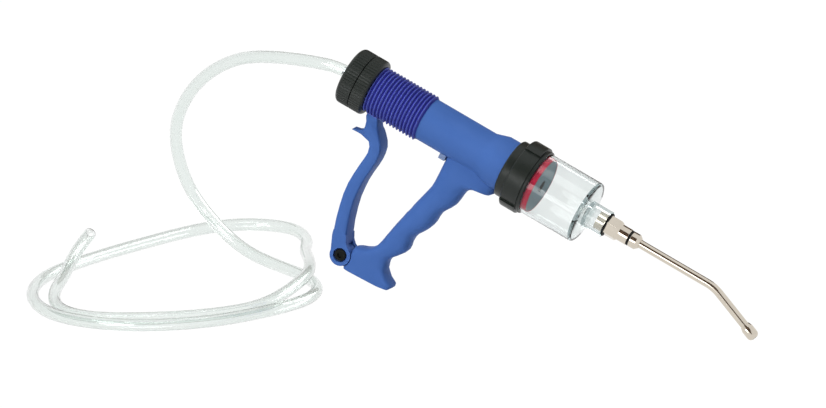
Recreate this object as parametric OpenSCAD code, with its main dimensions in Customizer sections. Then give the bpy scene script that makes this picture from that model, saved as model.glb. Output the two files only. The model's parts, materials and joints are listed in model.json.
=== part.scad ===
// Pistol-grip livestock drencher with a clear dosing barrel, a bent nozzle and a supply hose.
// Every piece of the gun is drawn along the barrel axis, with x forward from the rear face of the
// body tube, y across and z up. The gun is then pitched nose-down about the middle of its grip,
// which is the origin. The hose is drawn straight in the final frame.

/* [Pose] */
// Angle that the barrel points below level
gun_pitch = 25.8; // [0:0.1:40]

/* [Body] */
// Length of the body tube
body_len = 138.5; // [132:0.5:160]
// Outer diameter of the body tube
body_d = 32.6; // [32:0.1:34]
// Wall of the body tube
body_wall = 2.3; // [1.8:0.1:2.6]
// Diameter of the front seat that carries the collar
flange_d = 38.8; // [37:0.1:41]
// Length of the front seat
flange_len = 18.8; // [14:0.2:24]
// Length of the cone between the tube and the front seat
flare_len = 10.3; // [6:0.1:16]
// Diameter of the hole through the front seat
nose_bore_d = 24; // [18:0.5:26]
// Length of the ribbed rear section
thread_len = 59.7; // [50:0.1:66]
// Diameter over the ribs
thread_d = 36.2; // [35.6:0.1:38]
// Depth of the ribs
thread_depth = 1.5; // [1:0.1:1.7]
// Distance from rib to rib
thread_pitch = 2.8; // [2:0.05:4]
// Width of the slot that the lever passes through
slot_w = 13.6; // [13:0.1:15]

/* [Handle] */
// Distance from the barrel axis down to the lever pivot
pivot_drop = 121; // [115:0.5:128]
// Thickness of the lever and of the foot of the grip
handle_w = 17.4; // [15:0.1:20]
// Thickness of the grip at its middle
grip_w = 22.4; // [18:0.1:26]
// Thickness of the tongue that the lever pivots on
tongue_w = 8.6; // [7:0.1:10]
// Radius of the lever's eye
eye_r = 8; // [7.6:0.1:8.2]
// Diameter of the pivot screw
screw_d = 5; // [4:0.1:6]
// Diameter of the pivot screw's head
screw_head_d = 8.5; // [7.5:0.1:9.5]
// Width of the lever's neck
neck_w = 12.4; // [11:0.1:12.8]
// Diameter of the lever's rounded head
lever_head_d = 8; // [7:0.1:9]

/* [Rear end] */
// Outer diameter of the rear cap and of the dose nut
knob_d = 43.2; // [40:0.1:48]
// Length of the rear cap
cap_len = 11.5; // [10:0.1:16]
// Length of the dose nut
nut_len = 10.5; // [8:0.1:13]
// Thickness of the cap's end wall
cap_wall = 5; // [4:0.1:8]
// Number of grip ridges round the cap and the nut
ridge_count = 60; // [36:1:80]

/* [Barrel] */
// Outer diameter of the clear barrel
barrel_d = 47.5; // [46:0.1:50]
// Wall of the clear barrel
barrel_wall = 2.15; // [1.6:0.05:3]
// Length of the clear barrel without its neck
barrel_len = 56.6; // [54:0.1:70]
// Thickness of the barrel's front wall
barrel_front = 3; // [2:0.1:3.4]
// Outer diameter of the barrel's neck
neck_d = 20; // [18:0.1:22]
// Length of the barrel's neck
neck_len = 16.4; // [15:0.1:22]
// Diameter of the collar's front grip ring over its lugs
collar_d = 52.8; // [52:0.1:58]
// Height of the collar's lugs
lug_h = 1.4; // [0.8:0.1:2]
// Angle that each collar lug covers
lug_span = 74; // [60:1:120]
// Turn of the lugs about the barrel, away from upright
lug_turn = 10; // [0:1:30]
// Length of the collar behind its shoulder
collar_rear_len = 8.5; // [7:0.1:12]
// Length of the collar in front of its shoulder
collar_front_len = 14.5; // [12:0.1:14.8]

/* [Piston] */
// Diameter of the piston rod
rod_d = 10; // [9:0.1:10.4]
// Diameter of the feed tube inside the rod
feed_d = 6; // [5:0.1:6.6]
// Bore of the feed tube
feed_bore_d = 4; // [3:0.1:4.6]
// Thickness of the piston's rear disc
piston_back = 6; // [4:0.1:6.4]
// Thickness of the piston's front disc with its seal
piston_front = 4.4; // [3.6:0.1:4.6]
// Coils of the return spring
spring_coils = 13; // [8:1:16]
// Wire of the return spring
spring_wire = 1.8; // [1.2:0.1:2]

/* [Outlet] */
// Width across the corners of the adaptor's hexagon
hex_d = 16; // [15:0.1:18]
// Length of the adaptor's hexagon
hex_len = 8.3; // [6:0.1:10]
// Diameter of the adaptor's front end
spout_d = 12.2; // [11.6:0.1:13]
// Length of the adaptor's front end
spout_len = 7.7; // [5:0.1:10]
// Outer diameter of the nozzle tube
nozzle_d = 6.3; // [5.4:0.1:6.6]
// Bore of the nozzle tube
nozzle_bore_d = 4.4; // [3:0.1:4.6]
// Length of the nozzle from its nut to the bend
nozzle_reach = 59.5; // [40:0.5:110]
// Length of the nozzle after the bend, with its tip
nozzle_end_len = 41; // [25:1:70]
// Angle of the nozzle's bend
nozzle_bend = 22.5; // [5:0.5:60]
// Radius of the nozzle's bend
nozzle_bend_r = 30; // [15:1:60]
// Diameter of the rounded tip
tip_d = 9; // [8:0.1:11]
// Length of the rounded tip
tip_len = 11.8; // [9:0.1:15]

/* [Hose] */
// Outer diameter of the hose
hose_d = 9; // [8:0.1:9]
// Bore of the hose
hose_bore_d = 6; // [5:0.1:6.4]

/* [Hidden] */
$fn = 96;

// Clearances: a running fit, a seated fit, a gap between flat faces and a gap round free parts
run_gap = 0.05;
seat_gap = 0.02;
face_gap = 0.1;
free_gap = 0.3;
// Length by which a cut runs past the face that it opens
over = 2;
// Steps in a rounded corner
round_steps = 5;

// Radii that several pieces share
body_r = body_d / 2;
bore_r = body_r - body_wall;
flange_r = flange_d / 2;
thread_r = thread_d / 2;
root_r = thread_r - thread_depth;
knob_r = knob_d / 2;
barrel_r = barrel_d / 2;
barrel_bore_r = barrel_r - barrel_wall;
rod_r = rod_d / 2;
feed_r = feed_d / 2;
hose_r = hose_d / 2;
hose_bore_r = hose_bore_d / 2;
nozzle_r = nozzle_d / 2;
screw_r = screw_d / 2;

// Rear end: the tail's flange is held between the cap's end wall and the body
tail_flange_len = 2;
tail_flange_r = bore_r - free_gap;
tail_boss_wall = 2.2;
tail_boss_r = feed_r + tail_boss_wall;
tail_boss_len = 8;
tail_barb_len = 10;
cap_x = -tail_flange_len - cap_wall;
cap_front_x = cap_x + cap_len;
cap_round = 3.4;
knob_gap = 0.5;
nut_x = cap_front_x + knob_gap;
nut_front_x = nut_x + nut_len;
nut_round = 2.6;
knob_edge = 0.6;
ridge_depth = 0.35;

// Ribs: the front one stands a little behind the end of the ribbed section
rib_lead_share = 0.62;
rib_steps = 6;
rib_sharpness = 1.5;
rib_first_x = thread_len - rib_lead_share * thread_pitch;
rib_count = floor((rib_first_x - nut_x) / thread_pitch) + 1;

// Lever pivot: the neck's rear edge stands this far in front of the dose nut
neck_gap = 2.8;
neck_back_share = 0.2339;
pivot_x = nut_front_x + neck_gap + neck_back_share * pivot_drop;
pivot_z = -pivot_drop;

// Head of the lever, in shares of the pivot's drop
head_back_share = 0.1661;
head_up_share = 0.9017;
head_x = pivot_x - head_back_share * pivot_drop;
head_z = pivot_z + head_up_share * pivot_drop;
lever_head_r = lever_head_d / 2;

// Middle of the grip, where the hand closes, in shares of the pivot's drop
grip_mid_ahead_share = 0.334;
grip_mid_down_share = 0.545;
grip_mid_x = pivot_x + grip_mid_ahead_share * pivot_drop;
grip_mid_z = -grip_mid_down_share * pivot_drop;

// Piston, from the lever's head to its face
thrust_x = head_x + lever_head_r + free_gap;
thrust_len = 6;
thrust_r = bore_r - free_gap - run_gap;
rod_tail = 5;
rod_x = thrust_x - rod_tail;
bush_len = 6;
bush_inset = 3.6;
bush_front_x = body_len - flange_len - flare_len + bush_inset;
bush_x = bush_front_x - bush_len;
gasket_len = 1.5;
barrel_x = body_len + gasket_len;
piston_x = body_len + collar_front_len - piston_back;
seal_x = piston_x + piston_back;
piston_face_x = seal_x + piston_front;
seal_r = barrel_bore_r - run_gap;
seal_lip = 0.9;
seal_flange_share = 0.45;
seal_web_x = seal_x + seal_flange_share * piston_front;
seal_hub_r = 0.68 * barrel_bore_r;
piston_back_gap = 1.2;
piston_back_r = barrel_bore_r - piston_back_gap;
rod_nose_step = 1;
rod_nose_r = rod_r - rod_nose_step;
feed_end_x = 73;
feed_seal_wire = 1.3;
feed_seal_inset = 4;
feed_seal_x = rod_x + feed_seal_inset;

// Inlet valve in the piston's face
valve_r = 4.2;
valve_len = 1.3;
valve_recess_gap = 0.4;
valve_recess_r = valve_r + valve_recess_gap;
valve_recess = valve_len + face_gap;
valve_stem_r = 1;
valve_web = 1.5;
valve_port_r = 0.6;
valve_port_ring_r = 2.1;
valve_port_count = 3;
valve_flow_r = 3;
valve_clip_r = 2.2;
valve_clip_len = 1;
valve_spring_len = 6.5;
valve_spring_r = 1.7;
valve_spring_wire = 0.5;
valve_spring_coils = 5;

// Barrel and outlet
barrel_front_x = barrel_x + barrel_len;
barrel_inner_x = barrel_front_x - barrel_front;
barrel_round = 2;
neck_r = neck_d / 2;
neck_front_x = barrel_front_x + neck_len;
neck_wall = 3;
neck_socket_r = neck_r - neck_wall;
neck_socket_len = 14;
neck_hole_r = 4.5;
adaptor_seal_len = 1.2;
adaptor_seal_inset = 1;
adaptor_seal_r = neck_r - adaptor_seal_inset;
spigot_len = 7;
spigot_r = neck_socket_r - run_gap;
hex_r = hex_d / 2;
hex_x = neck_front_x + adaptor_seal_len;
hex_front_x = hex_x + hex_len;
spout_r = spout_d / 2;
spout_cone_len = 2;
spout_x = hex_front_x + spout_cone_len;
spout_front_x = spout_x + spout_len;
seat_bore_r = 2.5;
seat_len = 2.5;
chamber_r = 4.5;
chamber_x = neck_front_x - spigot_len + seat_len;
chamber_len = 12.5;
outlet_disc_r = 3.6;
outlet_disc_len = 2;
outlet_pin_r = 1.2;
outlet_pin_len = 5.5;
outlet_spring_r = 2.5;
outlet_spring_wire = 0.6;
outlet_spring_coils = 6;
socket_r = 4.2;

// Nozzle
nozzle_seal_len = 1.5;
nozzle_nut_x = spout_front_x + nozzle_seal_len + 2 * face_gap;
nozzle_nut_r = 5.9;
nozzle_nut_len = 5;
nozzle_nut_cone_len = 2.5;
nozzle_nut_nose_wall = 0.6;
nozzle_nut_nose_r = nozzle_r + nozzle_nut_nose_wall;
nozzle_nut_round = 0.5;
nozzle_spigot_gap = 0.5;
nozzle_spigot_len = spout_len - nozzle_spigot_gap;
nozzle_x = nozzle_nut_x - nozzle_spigot_len;
nozzle_bend_x = nozzle_nut_x + nozzle_nut_len + nozzle_reach;
// Angle by which the bend runs into the straight ends
nozzle_lap = 1.5;
tip_round = 3.2;
tip_shoulder = 1.4;

// Handle details
tongue_half = tongue_w / 2;
handle_half = handle_w / 2;
cheek_in = tongue_half + free_gap;
counterbore_gap = 1.05;
counterbore_r = screw_head_d / 2 + counterbore_gap;
counterbore = 2.4;
screw_head_len = 2;
hex_key_r = 2.3;
hex_key_depth = 1.6;
pivot_nut_r = 4.6;
eye_gap = 0.5;
tongue_inset = 0.5;
tongue_r = eye_r - tongue_inset;
tongue_reach = 9;
tongue_rise_share = 0.6;
spur_inset = 5.5;
spur_w = handle_w - 2 * spur_inset;
plug_len = 5;
plug_drop = 2.5;
slot_back = 0.5;
slot_x = nut_front_x - slot_back;

// Grip outline from top to foot. Each row has the depth below the barrel axis, the rear edge and
// the front edge, measured forward from the pivot, and the roundness of the section.
// All but the last column are shares of the pivot's drop.
GRIP_SHARES = [
    [0.050, 0.322, 0.672, 3.2], [0.190, 0.321, 0.672, 3.2], [0.209, 0.320, 0.655, 3.0],
    [0.221, 0.320, 0.580, 2.8], [0.240, 0.320, 0.538, 2.7], [0.266, 0.319, 0.518, 2.6],
    [0.300, 0.318, 0.509, 2.5], [0.338, 0.314, 0.503, 2.5], [0.374, 0.304, 0.494, 2.5],
    [0.406, 0.294, 0.476, 2.5], [0.438, 0.284, 0.453, 2.5], [0.466, 0.275, 0.438, 2.5],
    [0.496, 0.266, 0.432, 2.5], [0.533, 0.257, 0.429, 2.5], [0.565, 0.245, 0.420, 2.5],
    [0.597, 0.237, 0.405, 2.5], [0.628, 0.228, 0.385, 2.5], [0.655, 0.220, 0.365, 2.5],
    [0.686, 0.212, 0.353, 2.6], [0.718, 0.204, 0.350, 2.6], [0.749, 0.196, 0.354, 2.7],
    [0.775, 0.190, 0.352, 2.8], [0.800, 0.184, 0.340, 2.9], [0.832, 0.174, 0.314, 3.1],
    [0.857, 0.160, 0.290, 3.2], [0.880, 0.138, 0.276, 3.3], [0.899, 0.104, 0.273, 3.4],
    [0.913, 0.066, 0.275, 3.4], [0.922, 0.052, 0.277, 3.6], [0.950, 0.048, 0.282, 4.2],
    [0.972, 0.046, 0.296, 6.0], [0.995, 0.045, 0.320, 6.0], [1.010, 0.044, 0.348, 6.0],
    [1.018, 0.043, 0.360, 6.0], [1.034, 0.042, 0.362, 6.0], [1.050, 0.042, 0.350, 6.0],
    [1.060, 0.045, 0.322, 6.0]
];
// Half width of the grip along the same depths, as shares of half of its thickness
GRIP_TOP_SHARE = 0.90;
GRIP_WAIST_SHARE = 0.92;
grip_foot_share = 0.87;
grip_waist_end_share = 0.70;
grip_swell_share = 0.45;
GRIP_WEB_ROWS = 3;
// Slope of the foot's lower face, which falls towards the pivot
foot_slope_share = 0.045;
grip_steps = 24;
web_gap = 1.5;

// Lever outline from head to eye. Each row has the rear edge and the front edge as places back
// and up from the pivot, in shares of the pivot's drop, and the width as a share between the
// neck's width and the handle's.
LEVER_SHARES = [
    [-0.193, 0.911, -0.141, 0.911, 0.0], [-0.212, 0.886, -0.150, 0.890, 0.0],
    [-0.234, 0.863, -0.160, 0.868, 0.0], [-0.232, 0.839, -0.146, 0.835, 0.0],
    [-0.216, 0.812, -0.129, 0.805, 0.25], [-0.207, 0.786, -0.110, 0.785, 0.85],
    [-0.206, 0.764, -0.090, 0.762, 1.0], [-0.193, 0.738, -0.068, 0.735, 1.0],
    [-0.150, 0.721, -0.052, 0.699, 1.0], [-0.129, 0.690, -0.046, 0.658, 1.0],
    [-0.121, 0.650, -0.046, 0.620, 1.0], [-0.126, 0.607, -0.051, 0.575, 1.0],
    [-0.135, 0.554, -0.061, 0.521, 1.0], [-0.144, 0.488, -0.068, 0.463, 1.0],
    [-0.150, 0.422, -0.069, 0.405, 1.0], [-0.148, 0.347, -0.067, 0.343, 1.0],
    [-0.138, 0.273, -0.057, 0.277, 1.0], [-0.123, 0.190, -0.040, 0.198, 1.0],
    [-0.106, 0.120, -0.018, 0.128, 1.0], [-0.098, 0.090, 0.000, 0.0876, 1.0],
    [-0.090, 0.070, 0.006, 0.068, 1.0]
];
lever_steps = 20;
lever_roundness = 8;
// Thumb spur and the cheeks' upper corners, back and up from the pivot, in the same shares
SPUR_SHARES = [
    [-0.150, 0.775], [-0.207, 0.772], [-0.218, 0.745], [-0.240, 0.731],
    [-0.273, 0.724], [-0.279, 0.713], [-0.254, 0.715], [-0.216, 0.716], [-0.150, 0.700]
];
CHEEK_SHARES = [
    [-0.104, 0.120], [-0.098, 0.090], [-0.066, 0.002], [0.000, 0.000],
    [0.031, 0.054], [0.000, 0.0876], [-0.018, 0.128]
];

// Hose: it leaves the cap along the barrel axis, falls and lies on the floor in two loose loops
floor_z = -78;
hose_z = floor_z + hose_r;
HOSE_ROUTE = [
    [-84, 2, 106.5], [-120, 15, 105], [-160, 42, 95], [-201, 77, 71], [-232, 112, 38],
    [-245, 138, 4], [-238, 156, -35], [-205, 152, -65.5], [-168, 129, hose_z], [-132, 98, hose_z],
    [-106, 62, hose_z], [-98, 20, hose_z], [-110, -26, hose_z], [-134, -70, hose_z],
    [-170, -100, hose_z], [-211, -107, hose_z], [-249, -92, hose_z], [-279, -56, hose_z],
    [-298, -8, hose_z], [-303, 44, hose_z], [-294, 104, hose_z], [-280, 158, hose_z],
    [-264, 208, hose_z], [-246, 238, hose_z], [-221, 250, hose_z], [-194, 242, hose_z],
    [-172, 211, hose_z], [-155, 166, -71], [-125, 97, -64], [-110.5, 46, -64.3], [-116, -13, -70.5],
    [-142, -49, hose_z], [-180, -79, hose_z], [-221, -91, hose_z], [-254, -70, hose_z],
    [-275, -27, -72.5], [-285, 14, -70.2], [-292.5, 46.5, -66.5], [-296.5, 76.5, -60.2]
];
// Heading of the cut end, rising a little, on the short sides of a 7, 24, 25 triangle
hose_end_dir = [0, 0.96, 0.28];
hose_steps = 2;
hose_sides = 10;
hose_end_len = 19;
hose_end_bore = 18;
// The swept run is thinner than the cut end by this skin, and sinks into it this far
hose_skin = 0.05;
hose_sink = 1;

// Colours
BLUE = "#4468b2";
BLACK = "#2c2e2c";
CLEAR = "#dfe9e6";
RED = "#c0103c";
NICKEL = "#cfc8ba";
STEEL = "#9a9ca0";
GREY = "#5f7680";
PALE = "#b9c2cc";
RUBBER = "#181818";

// Helpers

// Puts a piece drawn along the barrel axis into the final frame
module placed() {
    rotate([0, gun_pitch, 0])
        translate([-grip_mid_x, 0, -grip_mid_z])
            children();
}

// Turned solid round the barrel axis from [radius, x] points
module turned(points) {
    rotate([0, 90, 0])
        rotate_extrude()
            polygon(points);
}

// Plain ring round the barrel axis
module ring(outer, inner, x, len) {
    turned([[inner, x], [outer, x], [outer, x + len], [inner, x + len]]);
}

// Plain rod round the barrel axis
module bar(r, x, len) {
    translate([x, 0, 0])
        rotate([0, 90, 0])
            cylinder(r = r, h = len);
}

// Quarter arc of a turned outline, centred on [r, x] and starting at angle a
function corner(r, x, c, a) = [
    for (i = [0 : round_steps])
        [r + c * cos(a + 90 * i / round_steps), x + c * sin(a + 90 * i / round_steps)]
];

// Outline of a ring with a rounded rear edge and a rounded front edge
function soft_ring(outer, inner, x, len, rear, front) = concat(
    [[inner, x]],
    corner(outer - rear, x + rear, rear, -90),
    corner(outer - front, x + len - front, front, 0),
    [[inner, x + len]]
);

// Prism with fine ridges along the barrel axis
module ridged(r, x, len) {
    translate([x, 0, 0])
        rotate([0, 90, 0])
            linear_extrude(len)
                polygon([
                    for (i = [0 : 2 * ridge_count - 1])
                        let (q = i % 2 == 0 ? r : r - ridge_depth, a = 180 * i / ridge_count)
                            [q * cos(a), q * sin(a)]
                ]);
}

// Rounded section in the x-y plane: a superellipse of half sizes a and b
function blob(a, b, n, steps) = [
    for (i = [0 : steps - 1])
        let (t = 360 * i / steps)
            [a * sign(cos(t)) * pow(abs(cos(t)), 2 / n), b * sign(sin(t)) * pow(abs(sin(t)), 2 / n)]
];

// Closed solid through rings that are listed from top to bottom
module loft(rings) {
    n = len(rings[0]);
    last = len(rings) - 1;
    points = [for (ring = rings) each ring];
    sides = [
        for (i = [0 : last - 1])
            for (j = [0 : n - 1])
                let (k = (j + 1) % n)
                    each [
                        [i * n + j, i * n + k, (i + 1) * n + k],
                        [i * n + j, (i + 1) * n + k, (i + 1) * n + j]
                    ]
    ];
    top = [for (j = [1 : n - 2]) [0, j + 1, j]];
    foot = [for (j = [1 : n - 2]) [last * n, last * n + j, last * n + j + 1]];
    polyhedron(points, concat(sides, top, foot), convexity = 8);
}

// Vectors
function unit(v) = v / norm(v);

// Ring of a tube round centre c, square to direction d, with a reference direction u
function tube_ring(c, d, u, r, sides) =
    let (side = unit(cross(d, u)), up = cross(side, d))
        [for (j = [0 : sides - 1])
            let (a = 360 * j / sides)
                c + r * cos(a) * side + r * sin(a) * up];

// Direction of a path at point i
function heading(path, i) =
    unit(path[min(i + 1, len(path) - 1)] - path[max(i - 1, 0)]);

// Reference directions carried along a path without twist
function carried(path, i, u) =
    i >= len(path) ? [] :
    let (d = heading(path, i), v = unit(u - (u * d) * d))
        concat([v], carried(path, i + 1, v));

// Tube along a path of points, as one solid
module tube(path, r, sides, up) {
    frames = carried(path, 0, up);
    loft([for (i = [0 : len(path) - 1])
        tube_ring(path[i], heading(path, i), frames[i], r, sides)]);
}

// Smooth curve through points, in even steps; the first two and the last two points only steer it
function slope(points, i) =
    (8 * (points[i + 1] - points[i - 1]) - (points[i + 2] - points[i - 2])) / 12;
function curve_point(points, i, t) =
    let (h = t * t * (3 - 2 * t))
        points[i] * (1 - h) + points[i + 1] * h
            + slope(points, i) * t * pow(1 - t, 2) - slope(points, i + 1) * t * t * (1 - t);
function curve(points, steps) =
    let (last = len(points) - 3)
        concat(
            [for (i = [2 : last - 1])
                for (s = [0 : steps - 1])
                    curve_point(points, i, s / steps)],
            [points[last]]
        );

// Points of a helix round the barrel axis, eight to a curl
curl_rings = 8;
wire_sides = 6;
function helix(x, len, r, coils) = [
    for (i = [0 : curl_rings * coils])
        let (a = 360 * i / curl_rings)
            [x + len * i / (curl_rings * coils), r * cos(a), r * sin(a)]
];

// Least gap between one curl of a helix and the next
function curl_gap(path, wire) =
    min([for (i = [0 : len(path) - 1 - curl_rings]) norm(path[i + curl_rings] - path[i])]) - wire;

// Wound spring between two faces at x and x + len
module spring(x, len, r, wire, coils) {
    inset = wire / 2 + face_gap;
    path = helix(x + inset, len - 2 * inset, r, coils);
    echo(least_gap = curl_gap(path, wire));
    tube(path, wire / 2, wire_sides, [1, 0, 0]);
}

// Body and grip

// Outer outline of the body tube with its ribs and its flared front seat
function rib_outline() = [
    for (i = [rib_count - 1 : -1 : 0])
        for (s = [0 : rib_steps - 1])
            let (t = s / rib_steps - 1 / 2)
                [root_r + thread_depth * pow((1 + cos(360 * t)) / 2, rib_sharpness),
                    rib_first_x + (t - i) * thread_pitch]
];
flare_x = body_len - flange_len - flare_len;

// Rings of the grip, with the web under the flare held clear of the collar
function grip_half(i) =
    let (h = GRIP_SHARES[i][0], foot = handle_half, top = grip_w / 2)
        h > grip_foot_share ? foot :
        h > grip_waist_end_share ?
            foot + (top * GRIP_WAIST_SHARE - foot)
                * (grip_foot_share - h) / (grip_foot_share - grip_waist_end_share) :
        h > grip_swell_share ?
            top * (GRIP_WAIST_SHARE + (1 - GRIP_WAIST_SHARE)
                * sin(180 * (h - grip_swell_share) / (grip_waist_end_share - grip_swell_share))) :
        top * GRIP_TOP_SHARE;
function grip_ring(i) =
    let (
        row = GRIP_SHARES[i],
        rear = pivot_x + row[1] * pivot_drop,
        web = body_len - collar_rear_len - web_gap,
        reach = pivot_x + row[2] * pivot_drop,
        front = i < GRIP_WEB_ROWS ? web - (GRIP_SHARES[0][2] - row[2]) * pivot_drop : reach,
        half = (front - rear) / 2,
        slope_share = i == len(GRIP_SHARES) - 1 ? foot_slope_share : 0
    )
        [for (p = blob(half, grip_half(i), row[3], grip_steps))
            [rear + half + p[0], p[1], slope_share * p[0] - row[0] * pivot_drop]];

// Tongue at the foot of the grip that the lever pivots on
module tongue() {
    rise = tongue_rise_share * tongue_r;
    translate([pivot_x, 0, pivot_z])
        rotate([90, 0, 0])
            cylinder(r = tongue_r, h = tongue_w, center = true);
    translate([pivot_x, -tongue_half, pivot_z - tongue_r])
        cube([tongue_reach, tongue_w, tongue_r + rise]);
}

// Room for the lever's cheeks on both sides of the tongue
module cheek_room() {
    for (side = [-1, 1])
        translate([pivot_x, side * (tongue_half + handle_half), pivot_z])
            rotate([90, 0, 0])
                cylinder(r = eye_r + eye_gap, h = 2 * handle_half, center = true);
}

module body_shell() {
    color(BLUE) placed() difference() {
        union() {
            turned(concat(
                [[0, 0], [root_r, 0]],
                rib_outline(),
                [[root_r, thread_len], [body_r, thread_len], [body_r, flare_x],
                    [flange_r, flare_x + flare_len], [flange_r, body_len], [0, body_len]]
            ));
            difference() {
                loft([for (i = [0 : len(GRIP_SHARES) - 1]) grip_ring(i)]);
                cheek_room();
            }
            tongue();
        }
        bar(bore_r, -over, bush_front_x + over);
        bar(nose_bore_d / 2, bush_x, body_len + over - bush_x);
        translate([slot_x, -slot_w / 2, -thread_r - over])
            cube([plug_x + plug_len - slot_x, slot_w, thread_r + over]);
        translate([pivot_x, 0, pivot_z])
            rotate([90, 0, 0])
                cylinder(r = screw_r + seat_gap, h = handle_w, center = true);
    }
}

// Plug that closes the front end of the lever's slot, just behind the grip
plug_x = pivot_x + GRIP_SHARES[0][1] * pivot_drop - plug_len - seat_gap;
module slot_end_plug() {
    width = slot_w - 2 * seat_gap;
    color(PALE) placed() difference() {
        translate([plug_x, -width / 2, -body_r - plug_drop])
            cube([plug_len, width, body_r + plug_drop]);
        bar(bore_r, plug_x - over, plug_len + 2 * over);
    }
}

// Bush that guides the piston rod, set against the shoulder in the body
module guide_bush() {
    color(BLACK) placed()
        ring(bore_r - seat_gap, rod_r + run_gap, bush_x, bush_len);
}

// Rear end

module rear_cap() {
    color(BLACK) placed() difference() {
        intersection() {
            turned(soft_ring(knob_r, 0, cap_x, cap_len, cap_round, knob_edge));
            ridged(knob_r, cap_x, cap_len);
        }
        bar(root_r + run_gap, -tail_flange_len, cap_len);
        bar(hose_r + free_gap, cap_x - over, cap_wall + 2 * over);
    }
}

module dose_nut() {
    color(BLACK) placed() difference() {
        intersection() {
            turned(soft_ring(knob_r, 0, nut_x, nut_len, knob_edge, nut_round));
            ridged(knob_r, nut_x, nut_len);
        }
        bar(thread_r + run_gap, nut_x - over, nut_len + 2 * over);
    }
}

// Tail that the hose is pushed onto, with the socket of the feed tube
module hose_tail() {
    barb_r = hose_bore_r - run_gap;
    color(STEEL) placed() difference() {
        union() {
            bar(barb_r, -tail_flange_len - tail_barb_len, tail_barb_len + over / 2);
            bar(tail_flange_r, -tail_flange_len, tail_flange_len);
            bar(tail_boss_r, -over / 2, tail_boss_len + over / 2);
        }
        bar(feed_bore_d / 2, -tail_flange_len - tail_barb_len - over, tail_barb_len + 2 * over);
        bar(feed_r + seat_gap, 0, tail_boss_len + over);
    }
}

module feed_tube() {
    color(STEEL) placed()
        ring(feed_r, feed_bore_d / 2, 0, feed_end_x);
}

// Hose

hose_start_x = -tail_flange_len - tail_barb_len;
hose_axis = [cos(gun_pitch), 0, -sin(gun_pitch)];
hose_start = (hose_start_x - grip_mid_x) * hose_axis
    - grip_mid_z * [sin(gun_pitch), 0, cos(gun_pitch)];
hose_lead = 30;
hose_end = HOSE_ROUTE[len(HOSE_ROUTE) - 1];
hose_run = curve(
    concat(
        [for (i = [2, 1, 0]) hose_start + i * hose_lead * hose_axis],
        HOSE_ROUTE,
        [for (i = [1, 2]) hose_end + i * hose_lead * hose_end_dir]
    ),
    hose_steps
);
hose_seat = hose_start + (tail_barb_len - face_gap) * hose_axis;
hose_path = concat([hose_seat], hose_run);

// Turns +z to a direction
module aimed(d) {
    rotate([0, acos(d[2]), atan2(d[1], d[0])])
        children();
}

module hose() {
    end_h = hose_end_len + hose_sink;
    color(CLEAR) {
        difference() {
            tube(hose_path, hose_r - hose_skin, hose_sides, [0, 1, 0]);
            placed()
                bar(hose_bore_r, hose_start_x, tail_barb_len + over);
        }
        translate(hose_end - hose_sink * hose_end_dir)
            aimed(hose_end_dir)
                difference() {
                    cylinder(r = hose_r, h = end_h);
                    translate([0, 0, end_h - hose_end_bore])
                        cylinder(r = hose_bore_r, h = hose_end_bore + over);
                }
    }
}

// Barrel end

// Slice of the grip ring that one lug covers
module lug_wedge(x, len) {
    reach = 2 * collar_d;
    translate([x, 0, 0])
        rotate([0, 90, 0])
            linear_extrude(len)
                polygon([
                    [0, 0],
                    [reach * cos(lug_span / 2), -reach * sin(lug_span / 2)],
                    [reach, 0],
                    [reach * cos(lug_span / 2), reach * sin(lug_span / 2)]
                ]);
}

module front_collar() {
    lug_r = collar_d / 2;
    ring_r = lug_r - lug_h;
    rear_step = 2.9;
    rear_r = ring_r - rear_step;
    rear_x = body_len - collar_rear_len;
    step_back = 1.5;
    step_x = body_len - step_back;
    front_x = body_len + collar_front_len;
    rim_len = 3;
    rear_round = 1.6;
    edge_round = 1;
    color(BLACK) placed() difference() {
        union() {
            turned(concat(
                [[0, rear_x]],
                corner(rear_r - rear_round, rear_x + rear_round, rear_round, -90),
                [[rear_r, step_x]],
                corner(ring_r - edge_round, step_x + edge_round, edge_round, -90),
                [[ring_r, front_x - rim_len], [ring_r - edge_round / 2, front_x - rim_len + edge_round / 4],
                    [ring_r - edge_round / 2, front_x - rim_len + edge_round / 2],
                    [ring_r, front_x - rim_len + edge_round]],
                corner(ring_r - edge_round, front_x - edge_round, edge_round, 0),
                [[0, front_x]]
            ));
            for (turn = [0, 180])
                rotate([turn - lug_turn, 0, 0])
                    intersection() {
                        turned(soft_ring(lug_r, (ring_r + barrel_r) / 2, step_x, front_x - rim_len - step_x,
                            rear_round, edge_round / 2));
                        lug_wedge(step_x, front_x - step_x);
                    }
        }
        bar(flange_r + run_gap, rear_x - over, collar_rear_len + 2 * over);
        bar(barrel_r + run_gap, body_len, collar_front_len + over);
    }
}

// Flat ring between the collar's shoulder and the barrel
module barrel_gasket() {
    color(RUBBER) placed()
        ring(barrel_r, flange_r + 2 * free_gap, body_len, gasket_len);
}

module barrel() {
    color(CLEAR, 0.4) placed() difference() {
        turned(concat(
            [[0, barrel_x], [barrel_r, barrel_x]],
            corner(barrel_r - barrel_round, barrel_front_x - barrel_round, barrel_round, 0),
            [[neck_r, barrel_front_x], [neck_r, neck_front_x], [0, neck_front_x]]
        ));
        bar(barrel_bore_r, barrel_x - over, barrel_len - barrel_front + over);
        bar(neck_hole_r, barrel_inner_x - over, barrel_front + neck_len);
        bar(neck_socket_r, neck_front_x - neck_socket_len, neck_socket_len + over);
    }
}

// Outlet

module adaptor_seal() {
    edge = adaptor_seal_len / 3;
    color(RUBBER) placed()
        turned(soft_ring(adaptor_seal_r, spigot_r + seat_gap, neck_front_x, adaptor_seal_len, edge, edge));
}

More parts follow.
